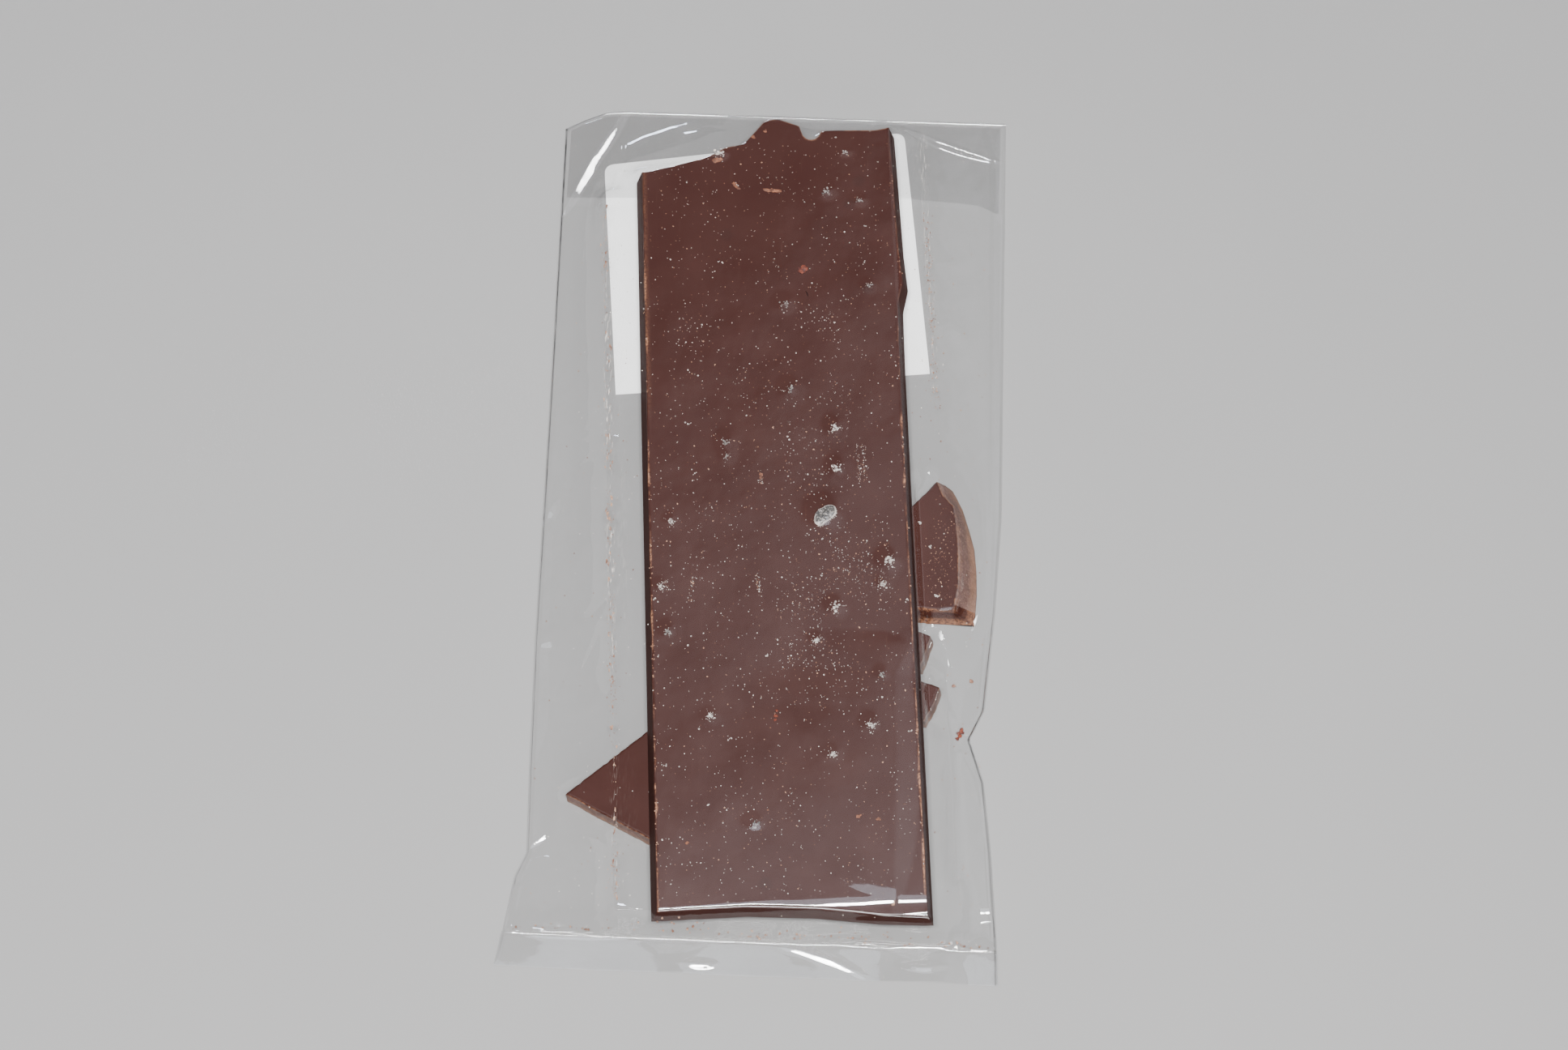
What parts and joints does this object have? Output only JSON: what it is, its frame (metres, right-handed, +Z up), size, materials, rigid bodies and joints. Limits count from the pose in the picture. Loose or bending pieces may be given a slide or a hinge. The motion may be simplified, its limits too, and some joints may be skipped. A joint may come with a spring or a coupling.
{
  "type": "bag of broken chocolate",
  "caption": "Clear film bag, welded at one end and folded over at the other, holding a long slab of dark chocolate with sea salt on broken shards of it.",
  "frame": {"origin": "centre of the bag's underside, on the table that it lies on", "axes": "+X across the bag, +Y along it from the welded end to the folded end, +Z up"},
  "size_m": [0.11, 0.2134, 0.0126],
  "materials": {
    "film": "clear cast film, high gloss",
    "chocolate": "moulded dark chocolate, satin with dust and scuffs",
    "salt": "frosted salt crystal",
    "chili": "dried flake",
    "paper": "matt white label paper"
  },
  "bodies": {
    "root": {"bag": "film", "label": "paper"}
  },
  "joints": []
}
